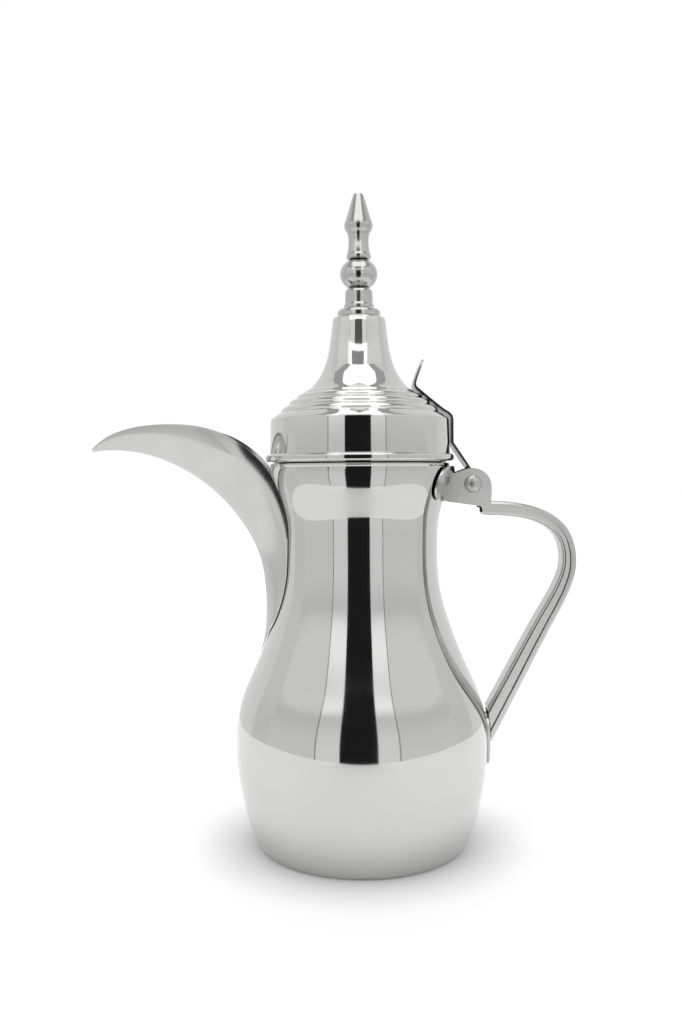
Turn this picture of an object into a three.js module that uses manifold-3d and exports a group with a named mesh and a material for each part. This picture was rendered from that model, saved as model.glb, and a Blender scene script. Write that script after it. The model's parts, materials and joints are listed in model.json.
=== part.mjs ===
// Stainless steel dallah: a spun coffee pot with a crescent spout, a hinged domed lid with a turned
// finial, a strap with a thumb tab that lifts the lid, and a hollow pressed handle.
//
// Millimetres, +Z up. The origin is the centre of the flat base, on the pot's axis.
// The spout points along -X and the handle along +X; the lid turns about a rivet parallel to Y.
import * as THREE from "three";
import { mergeVertices } from "three/addons/utils/BufferGeometryUtils.js";
import Module from "manifold-3d";

const wasm = await Module();
wasm.setup();

// ---- Driving dimensions ----
const WALL = 0.9; // sheet of the vessel and the lid
const GAP = 0.3; // clearance between pieces that are welded or pressed together
const FACE_GAP = 0.1; // clearance between flat faces stacked along the axis
const ROUND_SEGMENTS = 40; // facets round the vessel and the lid
const SMALL_SEGMENTS = 24; // facets round the finial and the rivet

const RIM_Z = 168.2; // top of the vessel's lip
const RIM_RADIUS = 39.9;
const LID_Z = 168.9; // underside of the lid's bead
const BEAD_RADIUS = 42.1;
const LID_TOP_Z = 233.5; // flat top of the lid's cone, under the finial

const PIN = { x: 49.7, z: 158.7, radius: 2.0 }; // the lid's hinge rivet
const STRAP = { thickness: 1.0, halfWidth: 7.0, barrelRadius: 2.9 };
const CHEEK = { inner: 7.4, thickness: 1.5 }; // the bracket's cheeks, measured from the middle plane
const STUD_RADIUS = 2.0; // threaded stud that holds the finial together
const BORE_RADIUS = STUD_RADIUS + GAP;

const STEEL = { color: 0xc9c9c6, roughness: 0.08, metalness: 1.0 };
const SATIN = { color: 0xbdbdb9, roughness: 0.32, metalness: 1.0 };
const TURNED = { color: 0xb4b4b1, roughness: 0.14, metalness: 1.0 };
const DARKENED = { color: 0x6c6c6b, roughness: 0.2, metalness: 1.0 };
const PLAIN = { color: 0x9c9c98, roughness: 0.4, metalness: 1.0 };

// ---- Curves ----
// A smooth curve through [across, up] pairs, sampled evenly.
function smooth(pairs, count) {
  const points = pairs.map(([a, b]) => new THREE.Vector3(a, b, 0));
  const curve = new THREE.CatmullRomCurve3(points, false, "centripetal");
  return curve.getSpacedPoints(count).map((p) => new THREE.Vector2(p.x, p.y));
}

function arc(centreX, centreY, radius, fromDegrees, toDegrees, steps) {
  return Array.from({ length: steps + 1 }, (_, i) => {
    const angle = THREE.MathUtils.degToRad(fromDegrees + ((toDegrees - fromDegrees) * i) / steps);
    return new THREE.Vector2(centreX + radius * Math.cos(angle), centreY + radius * Math.sin(angle));
  });
}

// The open line moved sideways, to its left as it is walked.
function offset(line, distance) {
  return line.map((point, i) => {
    const before = line[Math.max(i - 1, 0)];
    const after = line[Math.min(i + 1, line.length - 1)];
    const along = after.clone().sub(before).normalize();
    return new THREE.Vector2(point.x - along.y * distance, point.y + along.x * distance);
  });
}

// Linear interpolation in a list of [key, value] pairs with rising keys.
function lookup(table, key) {
  const next = table.findIndex(([k]) => k >= key);
  if (next <= 0) return table[next < 0 ? table.length - 1 : 0][1];
  const [[k0, v0], [k1, v1]] = [table[next - 1], table[next]];
  return v0 + ((v1 - v0) * (key - k0)) / (k1 - k0);
}

// ---- Geometry and solids ----
// A solid of revolution about Z from a closed profile of (radius, height) points.
function turned(profile, segments = ROUND_SEGMENTS) {
  const upward = THREE.ShapeUtils.area(profile) > 0 ? profile : [...profile].reverse();
  const closed = [...upward, upward[0]];
  return new THREE.LatheGeometry(closed, segments).rotateX(Math.PI / 2);
}

// A solid of revolution whose profile starts and ends on the axis.
function turnedSolid(profile, segments = SMALL_SEGMENTS) {
  return new THREE.LatheGeometry(profile, segments).rotateX(Math.PI / 2);
}

// An outline in the XZ plane given thickness along Y, centred on centreY.
function plateXZ(outline, width, centreY = 0) {
  const geometry = new THREE.ExtrudeGeometry(new THREE.Shape(outline), {
    depth: width,
    bevelEnabled: false,
  });
  return geometry.rotateX(Math.PI / 2).translate(0, centreY + width / 2, 0);
}

// An outline in the YZ plane given thickness along X, between fromX and toX.
function plateYZ(outline, fromX, toX) {
  const geometry = new THREE.ExtrudeGeometry(new THREE.Shape(outline), {
    depth: toX - fromX,
    bevelEnabled: false,
  });
  const swap = new THREE.Matrix4().set(0, 0, 1, fromX, 1, 0, 0, 0, 0, 1, 0, 0, 0, 0, 0, 1);
  return geometry.applyMatrix4(swap);
}

// A closed skin through rings of Vector3 that all hold the same number of points.
function loft(rings) {
  const count = rings[0].length;
  const triangles = [];
  rings.slice(1).forEach((ring, i) => {
    for (let j = 0; j < count; j += 1) {
      const k = (j + 1) % count;
      triangles.push(rings[i][j], rings[i][k], ring[j], rings[i][k], ring[k], ring[j]);
    }
  });
  const cap = (ring, flipped) => {
    const flat = flatten(ring);
    THREE.ShapeUtils.triangulateShape(flat, []).forEach(([a, b, c]) => {
      triangles.push(...(flipped ? [ring[a], ring[c], ring[b]] : [ring[a], ring[b], ring[c]]));
    });
  };
  cap(rings[0], true);
  cap(rings.at(-1), false);
  return new THREE.BufferGeometry().setFromPoints(triangles);
}

// A ring of nearly coplanar points laid out flat, with its direction kept.
function flatten(ring) {
  const normal = new THREE.Vector3();
  ring.forEach((p, i) => normal.add(new THREE.Vector3().crossVectors(p, ring[(i + 1) % ring.length])));
  normal.normalize();
  const across = new THREE.Vector3(0, 1, 0).cross(normal).normalize();
  const up = new THREE.Vector3().crossVectors(normal, across);
  return ring.map((p) => new THREE.Vector2(p.dot(across), p.dot(up)));
}

function solid(geometry) {
  const bare = geometry.index ? geometry.toNonIndexed() : geometry.clone();
  bare.deleteAttribute("normal");
  bare.deleteAttribute("uv");
  const merged = mergeVertices(bare, 1e-3);
  const triVerts = new Uint32Array(merged.index.array);
  const vertProperties = merged.attributes.position.array;
  const make = () => new wasm.Manifold(new wasm.Mesh({ numProp: 3, vertProperties, triVerts }));
  const made = make();
  if (made.volume() > 0) return made;
  for (let i = 0; i < triVerts.length; i += 3) {
    [triVerts[i + 1], triVerts[i + 2]] = [triVerts[i + 2], triVerts[i + 1]];
  }
  return make();
}

function geometryOf(manifold) {
  const { numProp, numVert, vertProperties, triVerts } = manifold.getMesh();
  const positions = new Float32Array(numVert * 3);
  for (let i = 0; i < numVert; i += 1) {
    positions.set(vertProperties.subarray(i * numProp, i * numProp + 3), i * 3);
  }
  const geometry = new THREE.BufferGeometry();
  geometry.setAttribute("position", new THREE.BufferAttribute(positions, 3));
  geometry.setIndex(new THREE.BufferAttribute(triVerts, 1));
  geometry.computeVertexNormals();
  return geometry;
}

const pot = new THREE.Group();

function piece(name, shape, finish) {
  const geometry = shape.isBufferGeometry ? geometryOf(solid(shape)) : geometryOf(shape);
  const mesh = new THREE.Mesh(geometry, new THREE.MeshStandardMaterial(finish));
  mesh.name = name;
  pot.add(mesh);
}

// ---- Vessel ----
// Radius and height of the vessel's outside, from the foot to the lip.
const vesselOutline = [
  [46.9, 1.1],
  [50.7, 10],
  [53.1, 20],
  [55.1, 31],
  [56.0, 43],
  [55.5, 54],
  [53.2, 63.5],
  [46.2, 80],
  [39.3, 98],
  [35.6, 112],
  [34.5, 123],
  [34.5, 132],
  [34.7, 139],
  [35.4, 144.5],
  [37.2, 151.5],
  [39.2, 158.9],
  [39.85, 162.3],
  [RIM_RADIUS, 166.6],
];
const FOOT_RADIUS = 45.9; // outer edge of the flat face that the pot stands on
const FOOT_INNER_RADIUS = 40; // inner edge of the shell's turned-in foot
const vesselCurve = smooth(vesselOutline, 28);

function vesselShell() {
  const inside = offset(vesselCurve, WALL).reverse();
  inside[0].set(RIM_RADIUS - WALL - 0.2, RIM_Z);
  inside[inside.length - 1].set(44.6, WALL + 0.4);
  const profile = [
    new THREE.Vector2(FOOT_INNER_RADIUS, 0),
    new THREE.Vector2(FOOT_RADIUS, 0),
    ...vesselCurve,
    new THREE.Vector2(RIM_RADIUS + 0.3, RIM_Z - 0.8),
    new THREE.Vector2(RIM_RADIUS, RIM_Z - 0.1),
    ...inside,
    new THREE.Vector2(FOOT_INNER_RADIUS, WALL),
  ];
  return solid(turned(profile));
}

// Everything inside the vessel's outer skin, grown by clearance: what fittings are trimmed against.
function vesselEnvelope(clearance) {
  const grown = offset(vesselCurve, -clearance);
  const profile = [new THREE.Vector2(0, -5), new THREE.Vector2(grown[0].x, -5), ...grown];
  profile.push(new THREE.Vector2(grown.at(-1).x, RIM_Z + 1), new THREE.Vector2(0, RIM_Z + 1));
  return solid(turnedSolid(profile, ROUND_SEGMENTS));
}

// Strainer: round holes through the wall behind the spout.
const STRAINER = { radius: 1.9, rows: 5, bottomZ: 112, pitchZ: 8, pitchY: 7 };
function strainerHoles() {
  const holes = [];
  for (let row = 0; row < STRAINER.rows; row += 1) {
    const across = row % 2 ? [-0.5, 0.5] : [-1, 0, 1];
    across.forEach((step) => {
      const hole = new THREE.CylinderGeometry(STRAINER.radius, STRAINER.radius, 30, 10);
      const z = STRAINER.bottomZ + row * STRAINER.pitchZ;
      holes.push(solid(hole.rotateZ(Math.PI / 2).translate(-35, step * STRAINER.pitchY, z)));
    });
  }
  return holes.reduce((all, hole) => all.add(hole));
}
piece("body_shell", vesselShell().subtract(strainerHoles()), STEEL);

// The base plate closes the foot: a flat disc with a joggled edge that overlaps the foot inside.
const baseProfile = [
  [0, 0],
  [FOOT_INNER_RADIUS - GAP, 0],
  [FOOT_INNER_RADIUS - GAP, WALL + GAP],
  [43.2, WALL + GAP],
  [43.2, 2 * WALL + GAP],
  [FOOT_INNER_RADIUS - 1.4, 2 * WALL + GAP],
  [FOOT_INNER_RADIUS - 1.4, WALL],
  [0, WALL],
].map(([r, z]) => new THREE.Vector2(r, z));
piece("base_plate", turnedSolid(baseProfile, ROUND_SEGMENTS), STEEL);

// ---- Spout ----
// Two pressed halves joined along the keel. Each section runs from the keel to the open edge.
const SPOUT = { thickness: 1.0, stations: 20, across: 6, seam: 0.15 };
const keelCurve = smooth(
  [
    [-120.2, 174.0], [-110.0, 174.7], [-96.5, 172.9], [-78.0, 165.3], [-65.3, 156.2],
    [-53.5, 142.7], [-46.0, 129.2], [-42.8, 114.0], [-42.4, 101.0], [-43.2, 91.5], [-45.2, 83.8],
  ],
  SPOUT.stations,
);
const edgeCurve = smooth(
  [
    [-120.3, 175.2], [-113.4, 180.2], [-103.5, 183.8], [-91.0, 185.5], [-76.8, 185.3], [-61.3, 181.9],
    [-49.8, 175.1], [-39.6, 164.0], [-33.6, 149.0], [-31.0, 130.0], [-33.6, 111.0], [-43.6, 83.6],
  ],
  SPOUT.stations,
);
// Half the width between the two open edges, by share of the way from the tip to the foot.
const spoutWidths = smooth(
  [[0, 0.8], [0.12, 7.5], [0.25, 13.5], [0.42, 18.4], [0.6, 14.8], [0.8, 12.6], [0.92, 8.5], [1, 1.6]],
  40,
).map((p) => [p.x, p.y]);
function spoutRing(station) {
  const keel = keelCurve[station];
  const edge = edgeCurve[station];
  const halfWidth = lookup(spoutWidths, station / SPOUT.stations);
  const depth = edge.distanceTo(keel);
  const point = (share, inset) => {
    const rise = Math.sin((Math.PI / 2) * share) ** 0.75;
    const along = Math.min((share * depth + inset * (1 - share)) / depth, 1);
    const y = Math.max(halfWidth * rise - inset, SPOUT.seam);
    const flat = keel.clone().lerp(edge, along);
    return new THREE.Vector3(flat.x, y, flat.y);
  };
  const shares = Array.from({ length: SPOUT.across + 1 }, (_, i) => i / SPOUT.across);
  const inset = Math.min(SPOUT.thickness, depth * 0.4, halfWidth * 0.5);
  const outside = shares.map((share) => point(share, 0));
  const inside = shares.map((share) => point(share, inset)).reverse();
  inside.at(-1).y = SPOUT.seam;
  return [...outside, ...inside];
}
const spoutRings = Array.from({ length: SPOUT.stations + 1 }, (_, i) => spoutRing(i));
const rightHalf = solid(loft(spoutRings)).subtract(vesselEnvelope(GAP));
const mirrorY = [1, 0, 0, 0, 0, -1, 0, 0, 0, 0, 1, 0, 0, 0, 0, 1];
piece("spout_half_far", rightHalf, SATIN);
piece("spout_half_near", rightHalf.transform(mirrorY), SATIN);

// ---- Hinge bracket ----
// Pressed channel, open upwards: two cheeks, a floor between them, and two ears on the neck.
const bracketOuter = CHEEK.inner + CHEEK.thickness;
const CHEEK_ARC = { x: 49.5, z: 157.3, radius: 8.4 };
// The ears stand off the neck beside the cheeks and close on it at their ends.
const EAR = { reach: 24.5, radius: 7.7, z: 158.9, sheet: 1.2, flare: 1.055 };
function bracketSolid() {
  const outline = [
    new THREE.Vector2(38.2, 150.9),
    new THREE.Vector2(53.4, 148.8),
    new THREE.Vector2(53.8, 147.7),
    new THREE.Vector2(57.6, 147.6),
    ...arc(CHEEK_ARC.x, CHEEK_ARC.z, CHEEK_ARC.radius, 0, 112, 9),
    new THREE.Vector2(41.2, 163.2),
    new THREE.Vector2(38.2, 163.4),
  ];
  const cheeks = [-1, 1].map((side) =>
    solid(plateXZ(outline, CHEEK.thickness, side * (CHEEK.inner + CHEEK.thickness / 2))),
  );
  const floor = [[39.5, 150.8], [53.2, 148.9], [53.2, 150.2], [39.5, 152.1]];
  const web = solid(plateXZ(floor.map(([x, z]) => new THREE.Vector2(x, z)), 2 * CHEEK.inner + 1));
  const lobeCentre = EAR.reach - EAR.radius;
  const lobe = [
    ...arc(lobeCentre, EAR.z, EAR.radius, -90, 90, 8),
    ...arc(-lobeCentre, EAR.z, EAR.radius, 90, 270, 8),
  ];
  const skin = vesselEnvelope(GAP);
  const saddle = solid(plateYZ(lobe, 25, 60))
    .intersect(skin.scale([EAR.flare, 1, 1]))
    .subtract(skin.scale([EAR.flare - EAR.sheet / RIM_RADIUS, 1, 1]));
  return cheeks[0].add(cheeks[1]).add(web).add(saddle).subtract(vesselEnvelope(GAP));
}
// A round bore through both cheeks for the rivet.
function boreAlongY(x, z, radius, halfLength) {
  const bore = new THREE.CylinderGeometry(radius, radius, 2 * halfLength, SMALL_SEGMENTS);
  return solid(bore.translate(x, 0, z));
}
const pinBore = boreAlongY(PIN.x, PIN.z, PIN.radius + GAP, 30);
piece("hinge_bracket", bracketSolid().subtract(pinBore), SATIN);

// The rivet: a shank through both cheeks and the strap's barrel, domed at both ends.
function rivet() {
  const seat = bracketOuter + FACE_GAP;
  const HEAD = { radius: 3.9, height: 2.4 };
  const dome = arc(0, 0, 1, 0, 90, 6).map(
    (p) => new THREE.Vector2(HEAD.radius * p.x, seat + HEAD.height * p.y),
  );
  dome[dome.length - 1].x = 0;
  const half = [new THREE.Vector2(PIN.radius, seat), ...dome];
  const other = half.map((p) => new THREE.Vector2(p.x, -p.y)).reverse();
  return new THREE.LatheGeometry([...other, ...half], SMALL_SEGMENTS).translate(PIN.x, 0, PIN.z);
}
piece("hinge_rivet", rivet(), PLAIN);

// ---- Handle ----
// Two pressed channels, the inner one nested in the outer one's mouth, so the handle is hollow.
const HANDLE = { halfWidth: 6.8, sheet: 1.0, flange: 2.6, nest: 1.3, stations: 26 };
// The handle's outer face in the middle plane, from the bracket to the belly.
const handleLine = smooth(
  [
    [54.2, 150.9], [60.0, 151.0], [70.6, 150.1], [79.0, 148.0], [85.9, 144.6], [92.1, 138.6], [95.4, 130.0],
    [95.8, 122.0], [93.4, 112.6], [85.7, 97.3], [74.9, 76.9], [64.1, 56.4], [52.5, 34.5],
  ],
  HANDLE.stations,
);
// Depth from the outer face to the inner face, by share of the way from the bracket to the belly.
const handleDepths = [[0, 5.5], [0.12, 6.4], [0.3, 5.9], [0.4, 6.3], [0.6, 7.5], [1, 8.6]];

// A sheet section as [across, depth] points: out along one side of the sheet, back along the other.
function outerSection() {
  const { halfWidth: w, sheet: t, flange } = HANDLE;
  const outside = [[w, flange], [w, 1.5], [w - 0.5, 0.6], [w - 1.7, 0.15], [2.2, 0]];
  const inside = [[w - t, flange], [w - t, 1.7], [w - 1.2, 1.25], [w - 2.2, t + 0.1], [2.2, t]];
  return { outside, inside };
}
function innerSection(depth) {
  const { halfWidth, sheet: t, flange, nest } = HANDLE;
  const w = halfWidth - nest;
  const outside = [[w, flange - 0.8], [w, depth - 1.5], [w - 0.5, depth - 0.6], [w - 1.7, depth - 0.1], [2, depth]];
  const inside = [
    [w - t, flange - 0.8], [w - t, depth - 1.7], [w - 1.2, depth - 1.3], [w - 2.2, depth - t - 0.1],
    [2, depth - t],
  ];
  return { outside, inside };
}
function handleRings(sectionAt) {
  return handleLine.map((at, station) => {
    const before = handleLine[Math.max(station - 1, 0)];
    const after = handleLine[Math.min(station + 1, HANDLE.stations)];
    const along = after.clone().sub(before).normalize();
    const inward = new THREE.Vector2(along.y, -along.x);
    const { outside, inside } = sectionAt(lookup(handleDepths, station / HANDLE.stations));
    const flip = ([y, n]) => [-y, n];
    const walk = [
      ...outside, ...outside.map(flip).reverse(), ...inside.map(flip), ...[...inside].reverse(),
    ];
    return walk.map(([y, n]) => {
      const spot = at.clone().addScaledVector(inward, n);
      return new THREE.Vector3(spot.x, y, spot.y);
    });
  });
}
const FOOT_SHEET = 1.0;
const onFoot = vesselEnvelope(2 * GAP + FOOT_SHEET);
piece("handle_outer_shell", solid(loft(handleRings(outerSection))).subtract(onFoot), SATIN);
piece("handle_inner_shell", solid(loft(handleRings(innerSection))).subtract(onFoot), SATIN);

// The handle's foot: a rounded saddle welded on the belly.
function handleFoot() {
  const FOOT = { halfWidth: 7.2, topZ: 56, bottomZ: 33 };
  const outline = [
    ...arc(0, FOOT.topZ - FOOT.halfWidth, FOOT.halfWidth, 0, 180, 10),
    ...arc(0, FOOT.bottomZ + FOOT.halfWidth, FOOT.halfWidth, 180, 360, 10),
  ];
  return solid(plateYZ(outline, 30, 70))
    .intersect(vesselEnvelope(GAP + FOOT_SHEET))
    .subtract(vesselEnvelope(GAP));
}
piece("handle_foot", handleFoot(), SATIN);

// ---- Lid ----
// Three rounded ribs step down from the cone to the skirt.
const ribs = [
  { inner: 24.6, outer: 28.3, top: 199.4, foot: 197.0 },
  { inner: 28.3, outer: 31.8, top: 196.8, foot: 193.9 },
  { inner: 31.8, outer: 35.4, top: 193.7, foot: 190.4 },
];
const ribCurve = ({ inner, outer, top, foot }) =>
  arc(0, 0, 1, 78, 6, 4).map(
    (p) => new THREE.Vector2(inner + (outer - inner) * p.x, foot + (top - foot) * p.y),
  );
const coneCurve = smooth(
  [[24.6, 200.2], [21.9, 202.0], [19.3, 204.9], [16.3, 210.0], [14.0, 217.0], [12.7, 225.0], [12.0, 231.2]],
  12,
).reverse();
const SKIRT = { bottomRadius: 40.25, topRadius: 39.9, bottomZ: 172.2, topZ: 187.2 };

function lidShell() {
  const outside = [
    new THREE.Vector2(BORE_RADIUS, LID_TOP_Z),
    new THREE.Vector2(10.6, LID_TOP_Z),
    new THREE.Vector2(11.7, LID_TOP_Z - 0.6),
    ...coneCurve,
    ...ribs.flatMap(ribCurve),
    new THREE.Vector2(37.0, 189.9),
    new THREE.Vector2(38.0, 189.1),
    new THREE.Vector2(38.9, 188.5),
    new THREE.Vector2(SKIRT.topRadius - 0.3, 187.9),
    new THREE.Vector2(SKIRT.topRadius, SKIRT.topZ),
    new THREE.Vector2(SKIRT.bottomRadius, SKIRT.bottomZ),
    new THREE.Vector2(BEAD_RADIUS - 0.4, SKIRT.bottomZ - 0.1),
    new THREE.Vector2(BEAD_RADIUS, SKIRT.bottomZ - 0.6),
    new THREE.Vector2(BEAD_RADIUS, LID_Z + 0.6),
    new THREE.Vector2(BEAD_RADIUS - 0.4, LID_Z),
  ];
  const inside = [
    [39.3, LID_Z], [39.3, SKIRT.bottomZ], [SKIRT.topRadius - WALL, 186.4], [38.3, 187.3], [36.6, 188.3],
    [34.0, 190.5], [30.6, 193.2], [27.2, 195.9], [24.0, 198.9], [21.2, 201.1], [18.3, 204.4],
    [15.3, 209.7], [13.0, 217.0], [11.7, 225.0], [11.0, 231.6], [10.4, LID_TOP_Z - WALL],
    [BORE_RADIUS, LID_TOP_Z - WALL],
  ].map(([r, z]) => new THREE.Vector2(r, z));
  return turned([...outside, ...inside]);
}
piece("lid_dome", lidShell(), STEEL);

// Seat ring: an angle-section ring inside the bead that rests on the lip and centres the lid.
const SEAT = { outer: 39.3 - GAP, collarOuter: 36.4, collarInner: 35.5, collarZ: 165.8 };
const seatBottom = RIM_Z + GAP;
const seatProfile = [
  [SEAT.collarInner, SEAT.collarZ],
  [SEAT.collarOuter, SEAT.collarZ],
  [SEAT.collarOuter, seatBottom],
  [SEAT.outer, seatBottom],
  [SEAT.outer, seatBottom + WALL],
  [SEAT.collarInner, seatBottom + WALL],
].map(([r, z]) => new THREE.Vector2(r, z));
piece("lid_seat_ring", turned(seatProfile), STEEL);

// Strap: one strip bent from the barrel round the rivet, up the skirt, over the ribs to the thumb tab.
const strapX = SKIRT.topRadius + 0.25 + GAP + STRAP.thickness / 2;
const strapBend = [
  [28.4, 214.4], [26.7, 210.4], [25.2, 206.2], [24.4, 203.6], [24.5, 202.1], [25.6, 200.9],
  [29.0, 198.2], [33.0, 194.9], [36.6, 192.0], [39.4, 190.2], [40.6, 189.0], [strapX, 187.4], [strapX, 177.0],
];
const TAB = { halfWidth: 8.8, corner: 6.5, topZ: 214.6 }; // the widened thumb tab at the strap's end
function strapSolid() {
  const toPin = new THREE.Vector2(PIN.x - strapX, PIN.z - strapBend.at(-1)[1]);
  const lean = Math.asin(STRAP.barrelRadius / toPin.length());
  const heading = THREE.MathUtils.radToDeg(toPin.angle() + lean) - 360;
  const barrel = arc(PIN.x, PIN.z, STRAP.barrelRadius, heading + 90, heading - 210, 14);
  const middle = [...strapBend.map(([x, z]) => new THREE.Vector2(x, z)), ...barrel];
  const half = STRAP.thickness / 2;
  const outline = [...offset(middle, half), ...offset(middle, -half).reverse()];
  const w = STRAP.halfWidth;
  const { halfWidth, corner, topZ } = TAB;
  const plan = [
    new THREE.Vector2(w, 150),
    new THREE.Vector2(w, 198),
    new THREE.Vector2(halfWidth, 203),
    ...arc(halfWidth - corner, topZ - corner, corner, 0, 90, 6),
    ...arc(corner - halfWidth, topZ - corner, corner, 90, 180, 6),
    new THREE.Vector2(-halfWidth, 203),
    new THREE.Vector2(-w, 198),
    new THREE.Vector2(-w, 150),
  ];
  return solid(plateXZ(outline, 2 * w + 2)).intersect(solid(plateYZ(plan, 10, 70)));
}
piece("lid_strap", strapSolid(), DARKENED);

// ---- Finial: turned pieces stacked on a stud, drawn down by a nut inside the lid ----
const ring = (pairs) => turned(pairs.map(([r, z]) => new THREE.Vector2(r, z)), SMALL_SEGMENTS);
const WASHER_Z = LID_TOP_Z + FACE_GAP;
piece(
  "finial_washer",
  ring([
    [BORE_RADIUS, WASHER_Z], [9.6, WASHER_Z], [9.7, WASHER_Z + 2.2], [9.1, WASHER_Z + 3.2],
    [8.2, WASHER_Z + 3.7], [BORE_RADIUS, WASHER_Z + 3.7],
  ]),
  TURNED,
);
const COLLAR_Z = WASHER_Z + 3.7 + FACE_GAP;
const COLLAR_TOP_Z = COLLAR_Z + 9.1;
piece(
  "finial_collar",
  ring([
    [BORE_RADIUS, COLLAR_Z], [6.8, COLLAR_Z], [6.7, COLLAR_Z + 1.6], [6.25, COLLAR_Z + 2.6],
    [6.15, COLLAR_Z + 7.6], [5.7, COLLAR_Z + 8.6], [5.0, COLLAR_TOP_Z], [BORE_RADIUS, COLLAR_TOP_Z],
  ]),
  TURNED,
);
// A slightly flattened ball: squash is its height over its width.
const BALL = { z: 253.1, radius: 8.4, squash: 0.87, bottomZ: COLLAR_TOP_Z + FACE_GAP };
const ballTop = 2 * BALL.z - BALL.bottomZ;
function ballProfile() {
  const reach = THREE.MathUtils.radToDeg(Math.asin((BALL.z - BALL.bottomZ) / (BALL.radius * BALL.squash)));
  const face = arc(0, 0, BALL.radius, -reach, reach, 14);
  face.forEach((p) => p.set(p.x, BALL.z + BALL.squash * p.y));
  face[0].y = BALL.bottomZ;
  face.at(-1).y = ballTop;
  const bore = [new THREE.Vector2(BORE_RADIUS, ballTop), new THREE.Vector2(BORE_RADIUS, BALL.bottomZ)];
  return [...face, ...bore];
}
piece("finial_ball", turned(ballProfile(), SMALL_SEGMENTS), TURNED);

const SPIKE_Z = ballTop + FACE_GAP;
const STUD_TOP_Z = SPIKE_Z + 8;
const TOP_Z = 289.4;
const spikeProfile = [
  [0, STUD_TOP_Z + GAP], [BORE_RADIUS, STUD_TOP_Z + GAP], [BORE_RADIUS, SPIKE_Z], [4.8, SPIKE_Z],
  [5.45, SPIKE_Z + 0.6], [5.5, SPIKE_Z + 1.8], [5.05, SPIKE_Z + 3.0], [4.8, SPIKE_Z + 4.5],
  [4.57, SPIKE_Z + 7.2], [4.6, SPIKE_Z + 9.9], [5.0, SPIKE_Z + 11.7], [5.8, SPIKE_Z + 13.2],
  [6.4, SPIKE_Z + 14.8], [6.4, SPIKE_Z + 15.8], [6.05, SPIKE_Z + 17.0], [4.66, SPIKE_Z + 21.2],
  [3.17, SPIKE_Z + 26.5], [2.2, TOP_Z - 0.4], [1.8, TOP_Z], [0, TOP_Z],
].map(([r, z]) => new THREE.Vector2(r, z));
piece("finial_spike", turnedSolid(spikeProfile), TURNED);

const NUT = { height: 3.2, acrossFlats: 7.0 };
const NUT_WASHER = { radius: 5.0, height: 0.8 };
const nutWasherZ = LID_TOP_Z - WALL - FACE_GAP - NUT_WASHER.height;
const nutZ = nutWasherZ - FACE_GAP - NUT.height;
const STUD_BOTTOM_Z = nutZ - 2;
const studProfile = [
  [0, STUD_BOTTOM_Z], [STUD_RADIUS - 0.4, STUD_BOTTOM_Z], [STUD_RADIUS, STUD_BOTTOM_Z + 0.4],
  [STUD_RADIUS, STUD_TOP_Z - 0.4], [STUD_RADIUS - 0.4, STUD_TOP_Z], [0, STUD_TOP_Z],
].map(([r, z]) => new THREE.Vector2(r, z));
piece("finial_stud", turnedSolid(studProfile), PLAIN);

piece(
  "finial_inner_washer",
  ring([
    [BORE_RADIUS, nutWasherZ], [NUT_WASHER.radius, nutWasherZ],
    [NUT_WASHER.radius, nutWasherZ + NUT_WASHER.height], [BORE_RADIUS, nutWasherZ + NUT_WASHER.height],
  ]),
  PLAIN,
);

function hexNut() {
  const outer = NUT.acrossFlats / Math.sqrt(3);
  const hexagon = new THREE.Shape(arc(0, 0, outer, 0, 300, 5));
  hexagon.holes.push(new THREE.Path(arc(0, 0, BORE_RADIUS, 0, 345, 23).reverse()));
  const body = new THREE.ExtrudeGeometry(hexagon, { depth: NUT.height, bevelEnabled: false });
  return body.translate(0, 0, nutZ);
}
piece("finial_nut", hexNut(), PLAIN);

export default pot;
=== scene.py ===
"""Stainless steel dallah on a white sweep, inside a small light tent.

Metres, in the CAD row's own frame: +Z up, the spout along -X, the handle along +X.
Every visible steel piece is rebuilt here as a smooth surface on the CAD piece's own dimensions.
"""
import json
import math

import bmesh
import bpy
import numpy as np
from mathutils import Matrix, Vector

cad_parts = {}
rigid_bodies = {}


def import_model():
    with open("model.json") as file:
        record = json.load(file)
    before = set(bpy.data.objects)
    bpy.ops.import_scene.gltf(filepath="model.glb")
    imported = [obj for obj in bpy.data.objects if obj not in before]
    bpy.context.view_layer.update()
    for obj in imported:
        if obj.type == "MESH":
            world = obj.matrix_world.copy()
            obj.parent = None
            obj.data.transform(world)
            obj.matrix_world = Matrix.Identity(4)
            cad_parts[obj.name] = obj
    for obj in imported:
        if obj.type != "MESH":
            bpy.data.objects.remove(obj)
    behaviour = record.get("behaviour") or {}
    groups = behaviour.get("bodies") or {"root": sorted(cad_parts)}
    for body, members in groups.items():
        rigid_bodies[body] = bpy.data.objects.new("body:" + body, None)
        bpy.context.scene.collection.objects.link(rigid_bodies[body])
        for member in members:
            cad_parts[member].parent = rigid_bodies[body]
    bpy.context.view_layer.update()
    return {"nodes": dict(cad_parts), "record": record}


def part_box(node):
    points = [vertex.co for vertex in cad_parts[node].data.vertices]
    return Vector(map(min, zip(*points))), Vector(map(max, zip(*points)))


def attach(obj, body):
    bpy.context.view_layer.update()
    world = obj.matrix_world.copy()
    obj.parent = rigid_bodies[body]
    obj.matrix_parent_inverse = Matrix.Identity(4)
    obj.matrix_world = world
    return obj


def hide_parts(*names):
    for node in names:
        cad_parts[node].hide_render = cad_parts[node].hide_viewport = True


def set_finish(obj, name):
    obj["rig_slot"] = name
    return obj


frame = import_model()
scene = bpy.context.scene
MM = 0.001

# ---- Places taken from the CAD ----
def mm_box(node):
    """(lowest, highest) corner of a CAD node in millimetres."""
    low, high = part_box(node)
    return [v / MM for v in low], [v / MM for v in high]


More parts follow.
